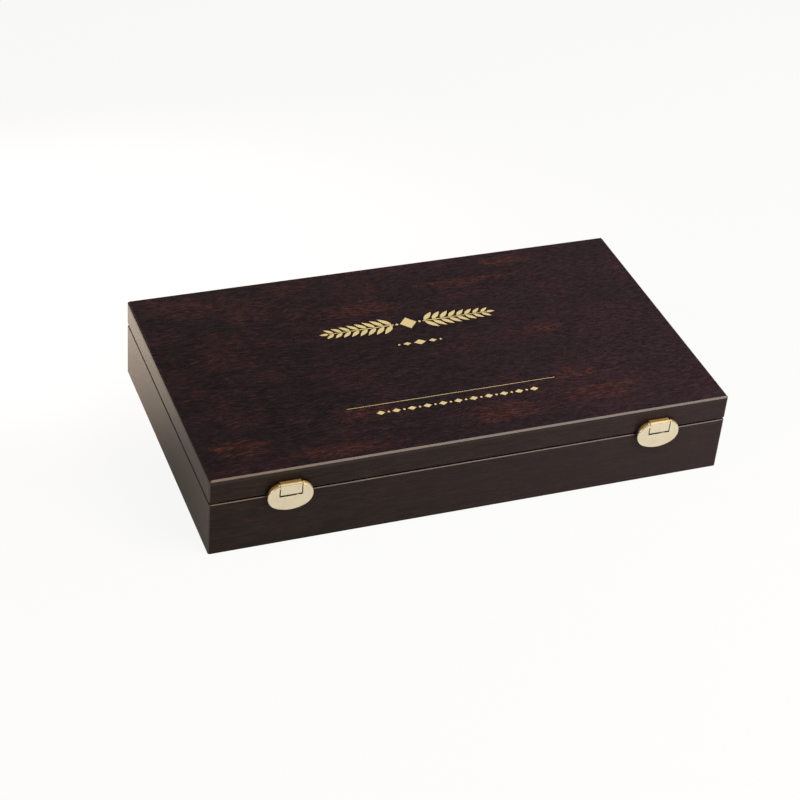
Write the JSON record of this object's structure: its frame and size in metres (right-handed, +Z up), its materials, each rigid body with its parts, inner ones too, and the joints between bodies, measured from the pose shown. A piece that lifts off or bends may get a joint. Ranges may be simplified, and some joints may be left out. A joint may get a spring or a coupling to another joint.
{
  "type": "watercolour pencil set",
  "caption": "Stained wooden presentation case with a rear-hinged lid and oval brass latches, holding hexagonal watercolour pencils in a grooved base and a lift-out tray.",
  "frame": {"origin": "middle of the underside of the base, on the surface the case rests on", "axes": "+X along the front to the right as the latches are faced, +Y from the front to the hinges, +Z up"},
  "size_m": [0.405, 0.2373, 0.066],
  "materials": {
    "case_wood": "satin, dark stained and lacquered",
    "inner_wood": "clear-waxed beech",
    "flocked_board": "matte flock",
    "lining_cloth": "plain-woven ivory cloth",
    "felt": "matte felt",
    "latch_brass": "polished, lacquered",
    "hinge_brass": "satin",
    "pencil_lacquer": "gloss lacquered cedar, a colour to each pencil",
    "pencil_core": "matte pigment core"
  },
  "bodies": {
    "base": {"base_front_wall": "case_wood", "base_back_wall": "case_wood", "base_left_wall": "case_wood", "base_right_wall": "case_wood", "base_bottom_panel": "case_wood", "rim_felt_pads": "felt", "hinge_base_leaf_left": "hinge_brass", "hinge_base_leaf_right": "hinge_brass", "hinge_pin_left": "hinge_brass", "hinge_pin_right": "hinge_brass", "latch_keeper_left": "latch_brass", "latch_keeper_right": "latch_brass", "tray_ledge_front": "inner_wood", "tray_ledge_back": "inner_wood", "tray_ledge_left": "inner_wood", "tray_ledge_right": "inner_wood", "lower_grooved_board": "flocked_board", "lower_pencil_casings": "pencil_lacquer", "lower_pencil_cores": "pencil_core", "tray_floor_board": "inner_wood", "tray_front_rail": "inner_wood", "tray_back_rail": "inner_wood", "tray_left_rail": "inner_wood", "tray_right_rail": "inner_wood", "upper_grooved_board": "flocked_board", "upper_pencil_casings": "pencil_lacquer", "upper_pencil_cores": "pencil_core"},
    "lid": {"lid_front_rail": "case_wood", "lid_back_rail": "case_wood", "lid_left_rail": "case_wood", "lid_right_rail": "case_wood", "lid_top_panel": "case_wood", "lid_lining_board": "lining_cloth", "hinge_lid_leaf_left": "hinge_brass", "hinge_lid_leaf_right": "hinge_brass", "latch_strap_left": "latch_brass", "latch_strap_right": "latch_brass"},
    "latch_left": {"latch_lever_left": "latch_brass", "latch_pin_left": "latch_brass"},
    "latch_right": {"latch_lever_right": "latch_brass", "latch_pin_right": "latch_brass"}
  },
  "joints": [
    {"name": "lid_hinge", "type": "hinge", "parent": "base", "child": "lid", "pos_m": [0, 0.1138, 0.04498], "axis": [-1, 0, 0], "range_deg": [0, 105]},
    {"name": "latch_left_hinge", "type": "hinge", "parent": "lid", "child": "latch_left", "pos_m": [-0.1442, -0.1195, 0.0547], "axis": [-1, 0, 0], "range_deg": [0, 100]},
    {"name": "latch_right_hinge", "type": "hinge", "parent": "lid", "child": "latch_right", "pos_m": [0.1442, -0.1195, 0.0547], "axis": [-1, 0, 0], "range_deg": [0, 100]}
  ]
}
